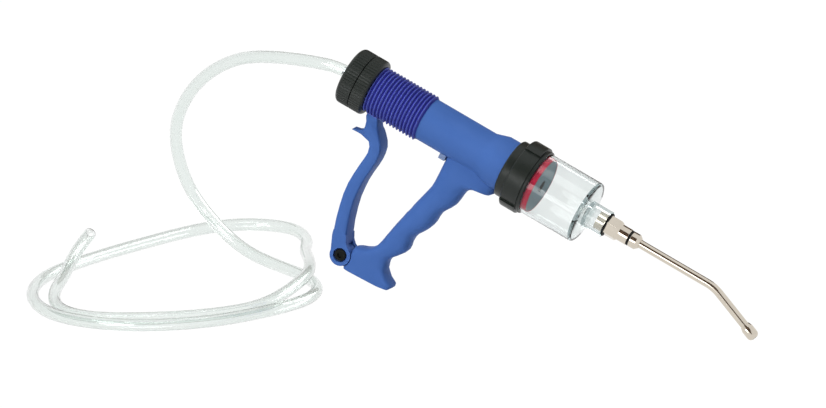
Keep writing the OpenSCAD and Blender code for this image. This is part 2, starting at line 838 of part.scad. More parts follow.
module outlet_adaptor() {
    spigot_x = neck_front_x - spigot_len;
    color(NICKEL) placed() difference() {
        union() {
            bar(spigot_r, spigot_x, spigot_len + adaptor_seal_len + over);
            intersection() {
                translate([hex_x, 0, 0])
                    rotate([0, 90, 0])
                        cylinder(r = hex_r, h = hex_len + spout_cone_len, $fn = 6);
                turned([[0, hex_x], [hex_r, hex_x], [hex_r, hex_front_x],
                    [spout_r, spout_x], [0, spout_x]]);
            }
            bar(spout_r, hex_front_x, spout_front_x - hex_front_x);
        }
        bar(seat_bore_r, spigot_x - over, spout_front_x - spigot_x + 2 * over);
        bar(chamber_r, chamber_x, chamber_len);
        bar(socket_r, spout_x, spout_len + over);
    }
}

// Disc valve that lets the dose out and closes on the return stroke
module outlet_valve() {
    color(RUBBER) placed() {
        bar(outlet_disc_r, chamber_x + run_gap, outlet_disc_len);
        bar(outlet_pin_r, chamber_x + run_gap, outlet_disc_len + outlet_pin_len);
    }
}

module outlet_spring() {
    x = chamber_x + run_gap + outlet_disc_len;
    color(STEEL) placed()
        spring(x, chamber_x + chamber_len - x, outlet_spring_r, outlet_spring_wire, outlet_spring_coils);
}

// Nozzle

module nozzle_nut() {
    color(NICKEL) placed() difference() {
        turned(concat(
            [[0, nozzle_x], [socket_r - run_gap, nozzle_x], [socket_r - run_gap, nozzle_nut_x]],
            corner(nozzle_nut_r - nozzle_nut_round, nozzle_nut_x + nozzle_nut_round, nozzle_nut_round, -90),
            [[nozzle_nut_r, nozzle_nut_x + nozzle_nut_len],
                [nozzle_nut_nose_r, nozzle_nut_x + nozzle_nut_len + nozzle_nut_cone_len],
                [0, nozzle_nut_x + nozzle_nut_len + nozzle_nut_cone_len]]
        ));
        bar(nozzle_r + seat_gap, nozzle_x - over, nozzle_bend_x - nozzle_x);
    }
}

module nozzle_seal() {
    edge = nozzle_seal_len / 3;
    color(RUBBER) placed()
        turned(soft_ring(nozzle_nut_r - face_gap, socket_r, spout_front_x + face_gap, nozzle_seal_len,
            edge, edge));
}

// Puts a piece at the end of the bend, where +x leads on along the nozzle
module after_bend() {
    translate([nozzle_bend_x, 0, -nozzle_bend_r])
        rotate([0, nozzle_bend, 0])
            translate([0, 0, nozzle_bend_r])
                children();
}

module nozzle_tube() {
    bore = nozzle_bore_d / 2;
    color(NICKEL) placed() {
        ring(nozzle_r, bore, nozzle_x, nozzle_bend_x - nozzle_x);
        translate([nozzle_bend_x, 0, -nozzle_bend_r])
            rotate([90, 0, 0])
                rotate([0, 0, 90 - nozzle_bend - nozzle_lap])
                    rotate_extrude(angle = nozzle_bend + 2 * nozzle_lap)
                        translate([nozzle_bend_r, 0])
                            difference() {
                                circle(r = nozzle_r - seat_gap);
                                circle(r = bore + seat_gap);
                            }
        after_bend()
            ring(nozzle_r, bore, 0, nozzle_end_len - tip_shoulder);
    }
}

// Rounded tip that is soldered over the end of the tube
module nozzle_tip() {
    tip_r = tip_d / 2;
    x = nozzle_end_len - tip_len;
    color(NICKEL) placed() after_bend() difference() {
        turned(concat(
            [[0, x], [nozzle_r + tip_shoulder / 4, x], [tip_r, x + 2 * tip_shoulder]],
            corner(tip_r - tip_round, nozzle_end_len - tip_round, tip_round, 0),
            [[0, nozzle_end_len]]
        ));
        bar(nozzle_bore_d / 2, x, tip_len + over);
        bar(nozzle_r + seat_gap, x - over, tip_len - tip_shoulder + over);
    }
}

// Lever and pivot

function lever_ring(i) =
    let (
        row = LEVER_SHARES[i],
        rear = [pivot_x + row[0] * pivot_drop, pivot_z + row[1] * pivot_drop],
        front = [pivot_x + row[2] * pivot_drop, pivot_z + row[3] * pivot_drop],
        mid = (rear + front) / 2,
        half = (front - rear) / 2,
        width = (neck_w + (handle_w - neck_w) * row[4]) / 2
    )
        [for (p = blob(1, width, lever_roundness, lever_steps))
            [mid[0] + half[0] * p[0], p[1], mid[1] + half[1] * p[0]]];

// Plate in the side view from shares of the pivot's drop, w wide about y
module side_plate(shares, y, w) {
    translate([pivot_x, y + w / 2, pivot_z])
        rotate([90, 0, 0])
            linear_extrude(w)
                polygon([for (p = shares) p * pivot_drop]);
}

module lever() {
    cheek_w = handle_half - cheek_in;
    color(BLUE) placed() difference() {
        union() {
            loft([for (i = [0 : len(LEVER_SHARES) - 1]) lever_ring(i)]);
            translate([head_x, 0, head_z])
                rotate([90, 0, 0])
                    cylinder(r = lever_head_r, h = neck_w, center = true);
            side_plate(SPUR_SHARES, 0, spur_w);
            for (side = [-1, 1]) {
                side_plate(CHEEK_SHARES, side * (cheek_in + cheek_w / 2), cheek_w);
                translate([pivot_x, side * (cheek_in + cheek_w / 2), pivot_z])
                    rotate([90, 0, 0])
                        cylinder(r = eye_r, h = cheek_w, center = true);
            }
        }
        translate([pivot_x, 0, pivot_z])
            rotate([90, 0, 0])
                cylinder(r = screw_r + run_gap, h = handle_w + over, center = true);
        for (side = [-1, 1])
            translate([pivot_x, side * (handle_half + over - counterbore), pivot_z])
                rotate([90, 0, 0])
                    cylinder(r = counterbore_r, h = 2 * over, center = true);
    }
}

// Socket-head screw through the lever's eye and the tongue
module pivot_screw() {
    under_head = handle_half - counterbore + face_gap;
    color(RUBBER) placed() translate([pivot_x, 0, pivot_z]) rotate([90, 0, 0]) difference() {
        union() {
            translate([0, 0, under_head])
                cylinder(r = screw_head_d / 2, h = screw_head_len);
            translate([0, 0, -under_head - screw_head_len])
                cylinder(r = screw_r, h = 2 * under_head + screw_head_len + over / 2);
        }
        translate([0, 0, under_head + screw_head_len - hex_key_depth])
            cylinder(r = hex_key_r, h = hex_key_depth + over, $fn = 6);
    }
}

module pivot_nut() {
    under_head = handle_half - counterbore + face_gap;
    color(STEEL) placed() translate([pivot_x, 0, pivot_z]) rotate([90, 0, 0]) difference() {
        translate([0, 0, -under_head - screw_head_len])
            cylinder(r = pivot_nut_r, h = screw_head_len, $fn = 6);
        translate([0, 0, -under_head - screw_head_len - over])
            cylinder(r = screw_r + seat_gap, h = screw_head_len + 2 * over);
    }
}

// Piston

module piston_rod() {
    groove_r = feed_r + run_gap + feed_seal_wire;
    color(STEEL) placed() difference() {
        union() {
            bar(rod_r, rod_x, piston_x - rod_x);
            bar(rod_nose_r, piston_x - over, piston_back + over);
        }
        bar(feed_r + run_gap, rod_x - over, seal_x - rod_x + 2 * over);
        bar(groove_r, feed_seal_x, feed_seal_wire + 2 * face_gap);
    }
}

// Collar on the rod that the lever's head pushes
module thrust_collar() {
    color(STEEL) placed()
        ring(thrust_r, rod_r + seat_gap, thrust_x, thrust_len);
}

module return_spring() {
    x = thrust_x + thrust_len;
    r = (rod_r + bore_r) / 2 + run_gap;
    color(STEEL) placed()
        spring(x, bush_x - x, r, spring_wire, spring_coils);
}

// Sealing ring between the rod and the feed tube
module feed_seal() {
    edge = feed_seal_wire / 3;
    outer = feed_r + run_gap + feed_seal_wire - seat_gap;
    color(RUBBER) placed()
        turned(soft_ring(outer, feed_r + run_gap, feed_seal_x + face_gap, feed_seal_wire, edge, edge));
}

module piston_head() {
    color(GREY) placed()
        ring(piston_back_r, rod_nose_r + seat_gap, piston_x, piston_back);
}

// Red lip seal, held by its flange between the piston's two discs
module piston_seal() {
    color(RED) placed()
        turned([[seal_hub_r + run_gap, seal_x], [seal_r, seal_x], [seal_r, piston_face_x],
            [seal_r - seal_lip, piston_face_x], [seal_r - seal_lip, seal_web_x],
            [seal_hub_r + run_gap, seal_web_x]]);
}

// Front disc of the piston, with the seat and the guide of the inlet valve
module piston_retainer() {
    recess_x = piston_face_x - valve_recess;
    color(GREY) placed() difference() {
        turned([[0, seal_x], [seal_hub_r, seal_x], [seal_hub_r, seal_web_x],
            [seal_r - seal_lip - run_gap, seal_web_x], [seal_r - seal_lip - run_gap, piston_face_x],
            [0, piston_face_x]]);
        bar(valve_recess_r, recess_x, valve_recess + over);
        bar(valve_flow_r, seal_x + valve_web, piston_front);
        bar(valve_stem_r + run_gap, seal_x - over, piston_front);
        for (i = [0 : valve_port_count - 1])
            rotate([360 * i / valve_port_count, 0, 0])
                translate([0, 0, valve_port_ring_r])
                    bar(valve_port_r, seal_x - over, piston_front);
    }
}

// Disc valve that lets the next dose through the piston on the return stroke
module inlet_valve() {
    head_back_x = piston_face_x - valve_len;
    clip_x = seal_x - valve_spring_len - valve_clip_len;
    color(RUBBER) placed() {
        bar(valve_r, head_back_x, valve_len);
        bar(valve_stem_r, clip_x, head_back_x - clip_x + valve_len / 2);
        bar(valve_clip_r, clip_x, valve_clip_len);
    }
}

module inlet_spring() {
    color(STEEL) placed()
        spring(seal_x - valve_spring_len, valve_spring_len, valve_spring_r, valve_spring_wire,
            valve_spring_coils);
}

body_shell();
slot_end_plug();
guide_bush();
rear_cap();
dose_nut();
hose_tail();
feed_tube();
hose();
front_collar();
barrel_gasket();
barrel();
adaptor_seal();
outlet_adaptor();
outlet_valve();
outlet_spring();
nozzle_nut();
nozzle_seal();
nozzle_tube();
nozzle_tip();
lever();
pivot_screw();
pivot_nut();
piston_rod();
thrust_collar();
return_spring();
feed_seal();
piston_head();
piston_seal();
piston_retainer();
inlet_valve();
inlet_spring();
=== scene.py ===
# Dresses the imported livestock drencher: camera, hose, springs, materials and light.
import json
import math

import bpy
from mathutils import Matrix, Vector


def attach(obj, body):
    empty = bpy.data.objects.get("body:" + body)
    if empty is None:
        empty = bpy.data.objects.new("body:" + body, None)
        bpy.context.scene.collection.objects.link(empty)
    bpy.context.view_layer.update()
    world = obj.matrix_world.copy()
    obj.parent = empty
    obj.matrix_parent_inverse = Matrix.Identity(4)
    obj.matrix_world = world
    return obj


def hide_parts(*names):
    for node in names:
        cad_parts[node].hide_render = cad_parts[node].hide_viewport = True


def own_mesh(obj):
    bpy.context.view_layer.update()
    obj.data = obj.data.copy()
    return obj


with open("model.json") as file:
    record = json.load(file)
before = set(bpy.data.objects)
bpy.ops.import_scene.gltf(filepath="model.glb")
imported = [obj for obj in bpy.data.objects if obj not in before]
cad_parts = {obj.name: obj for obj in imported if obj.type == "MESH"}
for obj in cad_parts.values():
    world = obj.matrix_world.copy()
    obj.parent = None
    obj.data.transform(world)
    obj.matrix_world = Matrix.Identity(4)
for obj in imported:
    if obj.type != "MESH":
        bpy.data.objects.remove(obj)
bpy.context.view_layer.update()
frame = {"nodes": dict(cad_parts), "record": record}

NODES = frame["nodes"]
MM = 0.001
UP = Vector((0, 0, 1))
WHITE = (1, 1, 1, 1)
CORNERS = ((-1, -1), (1, -1), (1, 1), (-1, 1))

# Camera: a long lens, turned so that the barrel axis runs as in the photograph, and placed so
# that the aim point shows at its pixel there
PHOTO_WIDTH = 826
PHOTO_HEIGHT = 408
PIXEL = 0.72 * MM
AZIMUTH = math.radians(21)
ELEVATION = math.radians(12)
CAMERA_DISTANCE = 14
CAMERA_REACH = 40
SENSOR_WIDTH = 36
AIM_PIXEL = (437.2, 125)
AIM_POINT = Vector((11.6, 0, 67.7)) * MM

# Barrel axis in the row frame: distances along it count from the rear face of the body tube
PITCH = math.radians(25.8)
AXIS = Vector((math.cos(PITCH), 0, -math.sin(PITCH)))
AXIS_UP = Vector((math.sin(PITCH), 0, math.cos(PITCH)))
AXIS_START = AXIS * (-87.016 * MM) + AXIS_UP * (65.945 * MM)

# Ribbed rear section: its length, the radii of its troughs and crests, and the step over which
# its painted shade and light end
RIB_LENGTH = 59.7 * MM
RIB_ROOT = 16.6 * MM
RIB_CREST = 18.1 * MM
RIB_FADE = 0.2 * MM

# Hose: its seat, the cap's rear face and the start of the route, all along the barrel axis
HOSE_SEAT = -2.2 * MM
HOSE_START = -12 * MM

# Hose: its radii, the length of its straight free end, the spacing of the points that steer its
# ends, and the steps of its mesh
HOSE_RADIUS = 4.5 * MM
HOSE_BORE = 3.0 * MM
HOSE_END = 19 * MM
HOSE_LEAD = 30 * MM
HOSE_SIDES = 24
HOSE_STEPS = 10
END_STEPS = 5

# Hose: its route in mm, at this height where it lies on the floor, and the way its free end points
HOSE_Z = -73.5
HOSE_ROUTE = [
    (-84, 2, 106.5), (-120, 15, 105), (-160, 42, 95), (-201, 77, 71), (-232, 112, 38),
    (-245, 138, 4), (-238, 156, -35), (-205, 152, -65.5), (-168, 129, HOSE_Z), (-132, 98, HOSE_Z),
    (-106, 62, HOSE_Z), (-98, 20, HOSE_Z), (-110, -26, HOSE_Z), (-134, -70, HOSE_Z),
    (-170, -100, HOSE_Z), (-211, -107, HOSE_Z), (-249, -92, HOSE_Z), (-279, -56, HOSE_Z),
    (-298, -8, HOSE_Z), (-303, 44, HOSE_Z), (-294, 104, HOSE_Z), (-280, 158, HOSE_Z),
    (-264, 208, HOSE_Z), (-246, 238, HOSE_Z), (-221, 250, HOSE_Z), (-194, 242, HOSE_Z),
    (-172, 211, HOSE_Z), (-155, 166, -71), (-125, 97, -64), (-110.5, 46, -64.3), (-116, -13, -70.5),
    (-142, -49, HOSE_Z), (-180, -79, HOSE_Z), (-221, -91, HOSE_Z), (-254, -70, HOSE_Z),
    (-275, -27, -72.5), (-285, 14, -70.2), (-292.5, 46.5, -66.5), (-296.5, 76.5, -60.2),
]
HOSE_HEADING = Vector((0, 0.96, 0.28))

# Springs: the body they ride on, their joint, and where they lie along the barrel axis
SPRINGS = (
    dict(node="return_spring", body="gun", joint="piston_slide", start=36.804 * MM,
         length=70.196 * MM, radius=9.55 * MM, wire=1.8 * MM, coils=13, travel=34 * MM),
    dict(node="inlet_spring", body="piston", joint="inlet_valve_lift", start=146.5 * MM,
         length=6.5 * MM, radius=1.7 * MM, wire=0.5 * MM, coils=5, travel=1.5 * MM),
    dict(node="outlet_spring", body="gun", joint="outlet_valve_lift", start=210.55 * MM,
         length=10.45 * MM, radius=2.5 * MM, wire=0.6 * MM, coils=6, travel=1.5 * MM),
)

# Springs: the gap at each end, and the steps of their meshes
SPRING_GAP = 0.1 * MM
COIL_STEPS = 28
WIRE_SIDES = 10

# Shading of the CAD nodes: the distance that is welded, the least angle of an edge that stays
# sharp, and the finer one of the nodes with grip ridges
WELD_DISTANCE = 0.002 * MM
SHARP_ANGLE = math.radians(32)
RIDGE_ANGLE = math.radians(20)
RIDGED_NODES = ("rear_cap", "dose_nut")

# Shared by all materials
NOISE_ROUGHNESS = 0.55
BEVEL_SAMPLES = 4

# Floor that the hose lies on: where it is seen, this share of it glows white
FLOOR_Z = -78 * MM
FLOOR_REACH = 6
FLOOR_GLOW = 1.05
FLOOR_SHARE = 0.95
FLOOR_GREY = (0.8, 0.8, 0.8, 1)

# Light from all round, from its colour below to its colour above
STUDIO_STRENGTH = 0.11
STUDIO_LOW = (0.5, 0.46, 0.66, 1)
STUDIO_HIGH = (0.94, 0.92, 1, 1)

# Dark cards that the metal mirrors, in front and behind: their angles round the gun, above it
# and in their own plane, and their sizes
CARD_TURN = math.radians(12)
CARD_TILT = math.radians(33)
CARD_ROLL = math.radians(18)
CARD_DISTANCE = 1.3
CARD_WIDTH = 1.3
CARD_HEIGHT = 1.15

# Lamps, in metres and watts
LAMPS = (
    dict(name="strip", place=(-0.19, -1.16, 0.06), size=0.45, power=2.6, mirrored=True),
    dict(name="key", place=(-0.6, -1.6, 0.9), size=1.0, power=27),
    dict(name="fill", place=(1.2, -1.3, 0.5), size=1.0, power=0.2),
    dict(name="top", place=(0.0, -0.4, 1.6), size=1.0, power=14),
    dict(name="back", place=(0.5, 1.6, 0.8), size=1.0, power=15),
)


def on_axis(x):
    """Point on the barrel axis, x metres in front of the body tube's rear face."""
    return AXIS_START + AXIS * x


# Meshes

def new_mesh(name, verts, faces):
    """Smooth mesh object in the row frame."""
    mesh = bpy.data.meshes.new(name)
    mesh.from_pydata([tuple(v) for v in verts], [], faces)
    mesh.update()
    mesh.polygons.foreach_set("use_smooth", [True] * len(mesh.polygons))
    obj = bpy.data.objects.new(name, mesh)
    bpy.context.scene.collection.objects.link(obj)
    return obj


def slope(points, i):
    """Slope of the smooth curve at one of its points, from two neighbours on each side."""
    return (8 * (points[i + 1] - points[i - 1]) - (points[i + 2] - points[i - 2])) / 12


def curve_points(points, steps):
    """Smooth curve in even steps; the first two and the last two points only steer it."""
    line = []
    last = len(points) - 3
    for i in range(2, last):
        for s in range(steps):
            t = s / steps
            h = t * t * (3 - 2 * t)
            line.append(points[i] * (1 - h) + points[i + 1] * h
                        + slope(points, i) * t * (1 - t) ** 2
                        - slope(points, i + 1) * t * t * (1 - t))
    line.append(points[last])
    return line


def path_frames(path, up):
    """Two cross directions at each point of a path, carried along it without twist."""
    frames = []
    for i in range(len(path)):
        heading = (path[min(i + 1, len(path) - 1)] - path[max(i - 1, 0)]).normalized()
        up = (up - heading * up.dot(heading)).normalized()
        frames.append((up.cross(heading), up))
    return frames


def sweep(path, radius, sides, up):
    """Rings of points round a path."""
    angles = [2 * math.pi * j / sides for j in range(sides)]
    rings = []
    for point, (side, top) in zip(path, path_frames(path, up)):
        rings.append([point + side * radius * math.cos(a) + top * radius * math.sin(a)
                      for a in angles])
    return rings


def skin(rings, offset, flip):
    """Quads between neighbouring rings."""
    sides = len(rings[0])
    faces = []
    for i in range(len(rings) - 1):
        for j in range(sides):
            k = (j + 1) % sides
            quad = (i * sides + j, i * sides + k, (i + 1) * sides + k, (i + 1) * sides + j)
            quad = tuple(q + offset for q in quad)
            faces.append(quad[::-1] if flip else quad)
    return faces


def hose_mesh(name, path):
    """Hollow hose with square-cut ends."""
    outer = sweep(path, HOSE_RADIUS, HOSE_SIDES, UP)
    inner = sweep(path, HOSE_BORE, HOSE_SIDES, UP)
    count = len(path) * HOSE_SIDES
    verts = [v for ring in outer + inner for v in ring]
    faces = skin(outer, 0, False) + skin(inner, count, True)
    for first, flip in ((0, True), (count - HOSE_SIDES, False)):
        for j in range(HOSE_SIDES):
            k = (j + 1) % HOSE_SIDES
            quad = (first + j, first + k, count + first + k, count + first + j)
            faces.append(quad[::-1] if flip else quad)
    return new_mesh(name, verts, faces)


def spring_mesh(name, start, length, radius, wire, coils):
    """Evenly wound spring between two faces, with the ends of its wire closed."""
    total = COIL_STEPS * coils
    inset = wire / 2 + SPRING_GAP
    path = []
    for i in range(total + 1):
        angle = 2 * math.pi * i / COIL_STEPS
        x = start + inset + (length - 2 * inset) * i / total
        side = Vector((0, 1, 0)) * math.cos(angle) + AXIS_UP * math.sin(angle)
        path.append(on_axis(x) + side * radius)
    rings = sweep(path, wire / 2, WIRE_SIDES, AXIS)
    verts = [v for ring in rings for v in ring]
    last = len(verts) - WIRE_SIDES
    faces = skin(rings, 0, False)
    faces.append(tuple(reversed(range(WIRE_SIDES))))
    faces.append(tuple(range(last, last + WIRE_SIDES)))
    return new_mesh(name, verts, faces)


# Camera

def make_camera():
    """Camera at the photograph's viewing angle, scale and framing."""
    back = Vector((math.sin(AZIMUTH) * math.cos(ELEVATION),
                   -math.cos(AZIMUTH) * math.cos(ELEVATION), math.sin(ELEVATION)))
    right = Vector((math.cos(AZIMUTH), math.sin(AZIMUTH), 0))
    up = back.cross(right)
    across = (AIM_PIXEL[0] - PHOTO_WIDTH / 2) * PIXEL
    above = (PHOTO_HEIGHT / 2 - AIM_PIXEL[1]) * PIXEL
    place = AIM_POINT - right * across - up * above + back * CAMERA_DISTANCE
    data = bpy.data.cameras.new("camera")
    data.sensor_width = SENSOR_WIDTH
    data.lens = SENSOR_WIDTH * CAMERA_DISTANCE / (PHOTO_WIDTH * PIXEL)
    data.clip_end = CAMERA_REACH
    camera = bpy.data.objects.new("camera", data)
    camera.matrix_world = Matrix((
        (right.x, up.x, back.x, place.x),
        (right.y, up.y, back.y, place.y),
        (right.z, up.z, back.z, place.z),
        (0, 0, 0, 1),
    ))
    bpy.context.scene.collection.objects.link(camera)
    bpy.context.scene.camera = camera


# Materials

def linear(red, green, blue):
    """Shader colour of an sRGB colour from 0 to 255."""
    def channel(v):
        v = v / 255
        return v / 12.92 if v <= 0.04045 else ((v + 0.055) / 1.055) ** 2.4
    return (channel(red), channel(green), channel(blue), 1)


def feed(tree, value, socket):
    """Links a socket to another one, or sets it to a fixed value."""
    if isinstance(value, bpy.types.NodeSocket):
        tree.links.new(value, socket)
    else:
        socket.default_value = value


def calculate(tree, operation, first, second):
    """Result of an operation on two sockets or numbers."""
    node = tree.nodes.new("ShaderNodeMath")
    node.operation = operation
    feed(tree, first, node.inputs[0])
    feed(tree, second, node.inputs[1])
    return node.outputs[0]


class Shader:
    """Material with a node tree and short calls to build it."""

    def __init__(self, name):
        self.material = bpy.data.materials.new(name)
        self.material.use_nodes = True
        self.tree = self.material.node_tree
        self.surface = self.tree.nodes["Principled BSDF"]
        self.output = self.tree.nodes["Material Output"]
        self.place = self.add("ShaderNodeTexCoord").outputs["Object"]

    def add(self, kind, **values):
        """New node with some of its properties set."""
        node = self.tree.nodes.new(kind)
        for key, value in values.items():
            setattr(node, key, value)
        return node

    def link(self, out, socket):
        self.tree.links.new(out, socket)

    def put(self, **values):
        """Constants of the surface, with underscores for spaces."""
        for key, value in values.items():
            self.surface.inputs[key.replace("_", " ")].default_value = value

    def noise(self, scale, detail=3):
        """Noise with features per metre of the object."""
        node = self.add("ShaderNodeTexNoise")
        node.inputs["Scale"].default_value = scale
        node.inputs["Detail"].default_value = detail
        node.inputs["Roughness"].default_value = NOISE_ROUGHNESS
        self.link(self.place, node.inputs["Vector"])
        return node.outputs["Fac"]

    def blend(self, fac, low, high):
        """Colour between two, each fixed or from a socket, by a factor."""
        node = self.add("ShaderNodeMix", data_type="RGBA")
        self.link(fac, node.inputs["Factor"])
        sockets = [s for s in node.inputs if s.type == "RGBA"]
        feed(self.tree, low, sockets[0])
        feed(self.tree, high, sockets[1])
        return [s for s in node.outputs if s.type == "RGBA"][0]

    def span(self, fac, low, high, start=0.3, end=0.7):
        """Number between two, as a factor goes from start to end."""
        node = self.add("ShaderNodeMapRange")
        self.link(fac, node.inputs["Value"])
        node.inputs["From Min"].default_value = start
        node.inputs["From Max"].default_value = end
        node.inputs["To Min"].default_value = low
        node.inputs["To Max"].default_value = high
        return node.outputs["Result"]

    def vector(self, operation, first, second=None):
        """Result of a vector operation on a socket, with a fixed vector where it takes one."""
        node = self.add("ShaderNodeVectorMath", operation=operation)
        self.link(first, node.inputs[0])
        if second is not None:
            node.inputs[1].default_value = second
        number = operation in ("DOT_PRODUCT", "LENGTH")
        return node.outputs["Value" if number else "Vector"]

    def cover(self, colour, shine, patches):
        """Colour of the surface, and a roughness that varies between two values in patches."""
        self.link(colour, self.surface.inputs["Base Color"])
        self.link(self.span(self.noise(patches), *shine), self.surface.inputs["Roughness"])

    def bump(self, height, relief, strength, edge=0):
        """Fine relief, on top of edges softened by a small radius."""
        node = self.add("ShaderNodeBump")
        node.inputs["Distance"].default_value = relief
        node.inputs["Strength"].default_value = strength
        self.link(height, node.inputs["Height"])
        if edge:
            soft = self.add("ShaderNodeBevel", samples=BEVEL_SAMPLES)
            soft.inputs["Radius"].default_value = edge
            self.link(soft.outputs["Normal"], node.inputs["Normal"])
        self.link(node.outputs["Normal"], self.surface.inputs["Normal"])


def painted_rib_shading(s, plain, painted_trough_shade, painted_crest_light):
    """Plain colour, but on the ribs of the body a painted shade in their troughs and a painted
    light on their crests.
    """
    from_start = s.vector("SUBTRACT", s.place, AXIS_START)
    along = s.vector("DOT_PRODUCT", from_start, AXIS)
    radius = s.vector("LENGTH", s.vector("CROSS_PRODUCT", from_start, AXIS))
    # Painted shade in the troughs between the ribs and painted light on their crests, by distance
    # from the axis
    painted_rib_colours = s.blend(s.span(radius, 0, 1, RIB_ROOT, RIB_CREST), painted_trough_shade, painted_crest_light)
    behind = s.span(along, 1, 0, RIB_LENGTH - RIB_FADE, RIB_LENGTH)
    near = s.span(radius, 1, 0, RIB_CREST, RIB_CREST + RIB_FADE)
    return s.blend(calculate(s.tree, "MULTIPLY", behind, near), plain, painted_rib_colours)


def plastic(name, low, high, shine, grain, relief, edge, gloss, painted_rib_colours=None):
    """Moulded plastic: faint colour drift, satin grain and softened edges; where given, painted
    shade and light on the ribs.
    """
    s = Shader(name)
    colour = s.blend(s.noise(scale=60), low, high)
    # Painted shade and painted light on the ribs of the body, where given
    if painted_rib_colours:
        colour = painted_rib_shading(s, colour, *painted_rib_colours)
    s.cover(colour, shine, patches=900)
    s.put(IOR=1.5, Specular_IOR_Level=gloss)
    s.bump(s.noise(grain, detail=2), relief, strength=0.5, edge=edge)
    return s.material


def rubber(name, low, high):
    """Moulded rubber: almost dull, with a fine grain."""
    s = Shader(name)
    s.cover(s.blend(s.noise(scale=300), low, high), shine=(0.42, 0.6), patches=700)
    s.put(Specular_IOR_Level=0.08)
    s.bump(s.noise(scale=2500, detail=2), relief=0.02 * MM, strength=0.4, edge=0.15 * MM)
    return s.material


def plated(name, low, high, shine):
    """Plated or drawn metal, faintly uneven from polishing."""
    s = Shader(name)
    s.cover(s.blend(s.noise(scale=90), low, high), shine, patches=1200)
    s.put(Metallic=1)
    s.bump(s.noise(scale=400, detail=2), relief=0.004 * MM, strength=0.2, edge=0.25 * MM)
    return s.material


def clear(name, tint, haze, waves, bend, coat, stain, depth):
    """Clear plastic with a faint tint, haze and flow lines, that stains light over a depth."""
    s = Shader(name)
    s.cover(s.blend(s.noise(scale=40), tint, WHITE), haze, patches=500)
    s.put(IOR=bend, Transmission_Weight=1, Coat_Weight=coat, Coat_Roughness=0.03)
    s.bump(s.noise(waves, detail=1), relief=0.03 * MM, strength=0.3)
    inside = s.add("ShaderNodeVolumeAbsorption")
    inside.inputs["Color"].default_value = stain
    inside.inputs["Density"].default_value = 1 / depth
    s.link(inside.outputs["Volume"], s.output.inputs["Volume"])
    return s.material


def make_materials():
    """Material of each slot in the record."""
    recipes = {
        "blue_plastic": (plastic, dict(
            low=linear(63, 98, 163), high=linear(71, 106, 171), shine=(0.4, 0.5), grain=3500,
            relief=0.015 * MM, edge=0.4 * MM, gloss=0.05,
            # Ribs of the body: painted shade in their troughs and painted light on their crests
            painted_rib_colours=(linear(34, 34, 124), linear(94, 106, 190)))),
        "black_plastic": (plastic, dict(
            low=linear(25, 30, 27), high=linear(31, 36, 33), shine=(0.3, 0.42), grain=3000,
            relief=0.02 * MM, edge=0.3 * MM, gloss=0.28)),
        "grey_plastic": (plastic, dict(
            low=linear(78, 104, 114), high=linear(88, 114, 124), shine=(0.35, 0.45), grain=3000,
            relief=0.015 * MM, edge=0.2 * MM, gloss=0.1)),
        "pale_plastic": (plastic, dict(
            low=linear(104, 124, 162), high=linear(116, 136, 172), shine=(0.35, 0.45), grain=3000,
            relief=0.015 * MM, edge=0.2 * MM, gloss=0.4)),
        "clear_plastic": (clear, dict(
            tint=(0.9, 0.925, 0.915, 1), haze=(0.0, 0.03), waves=120, bend=1.2, coat=0.3,
            stain=linear(196, 207, 208), depth=13 * MM)),
        "clear_hose": (clear, dict(
            tint=(0.96, 0.985, 0.975, 1), haze=(0.0, 0.02), waves=40, bend=1.45, coat=0.2,
            stain=linear(180, 196, 188), depth=9 * MM)),
        "red_rubber": (rubber, dict(low=linear(165, 4, 46), high=linear(178, 8, 54))),
        "black_rubber": (rubber, dict(low=linear(20, 20, 20), high=linear(30, 30, 30))),
        "nickel": (plated, dict(
            low=linear(203, 194, 180), high=linear(213, 205, 192), shine=(0.07, 0.14))),
        "steel": (plated, dict(
            low=linear(150, 152, 156), high=linear(172, 174, 178), shine=(0.22, 0.36))),
        "black_steel": (plated, dict(
            low=linear(26, 28, 27), high=linear(36, 38, 36), shine=(0.34, 0.46))),
    }
    return {slot: make(slot, **values) for slot, (make, values) in recipes.items()}


def smooth_shading(name, least):
    """Geometry nodes that weld a CAD mesh and shade it smooth, but for edges of a least angle."""
    group = bpy.data.node_groups.new(name, "GeometryNodeTree")
    group.interface.new_socket("Geometry", in_out="INPUT", socket_type="NodeSocketGeometry")
    group.interface.new_socket("Geometry", in_out="OUTPUT", socket_type="NodeSocketGeometry")
    nodes = group.nodes
    start = nodes.new("NodeGroupInput")
    weld = nodes.new("GeometryNodeMergeByDistance")
    weld.inputs["Distance"].default_value = WELD_DISTANCE
    angle = nodes.new("GeometryNodeInputMeshEdgeAngle")
    blunt = nodes.new("FunctionNodeCompare")
    blunt.operation = "LESS_THAN"
    blunt.inputs["B"].default_value = least
    faces = nodes.new("GeometryNodeSetShadeSmooth")
    edges = nodes.new("GeometryNodeSetShadeSmooth")
    edges.domain = "EDGE"
    end = nodes.new("NodeGroupOutput")
    links = group.links
    links.new(start.outputs[0], weld.inputs["Geometry"])
    links.new(weld.outputs["Geometry"], faces.inputs["Geometry"])
    links.new(angle.outputs["Unsigned Angle"], blunt.inputs["A"])
    links.new(faces.outputs["Geometry"], edges.inputs["Geometry"])
    links.new(blunt.outputs["Result"], edges.inputs["Shade Smooth"])
    links.new(edges.outputs["Geometry"], end.inputs[0])
    return group


def dress_nodes(materials):
    """Gives each CAD node its material and smooth shading."""
    slots = {p["node"]: p["material_slot"] for p in frame["record"]["subparts"]}
    plain = smooth_shading("smooth_shading", SHARP_ANGLE)
    ridged = smooth_shading("ridged_shading", RIDGE_ANGLE)
    for name, obj in NODES.items():
        material = materials[slots[name]]
        if not obj.material_slots:
            obj.data.materials.append(material)
        for slot in obj.material_slots:
            slot.link = "OBJECT"
            slot.material = material
        modifier = obj.modifiers.new("smooth_shading", "NODES")
        modifier.node_group = ridged if name in RIDGED_NODES else plain


# Hose and springs

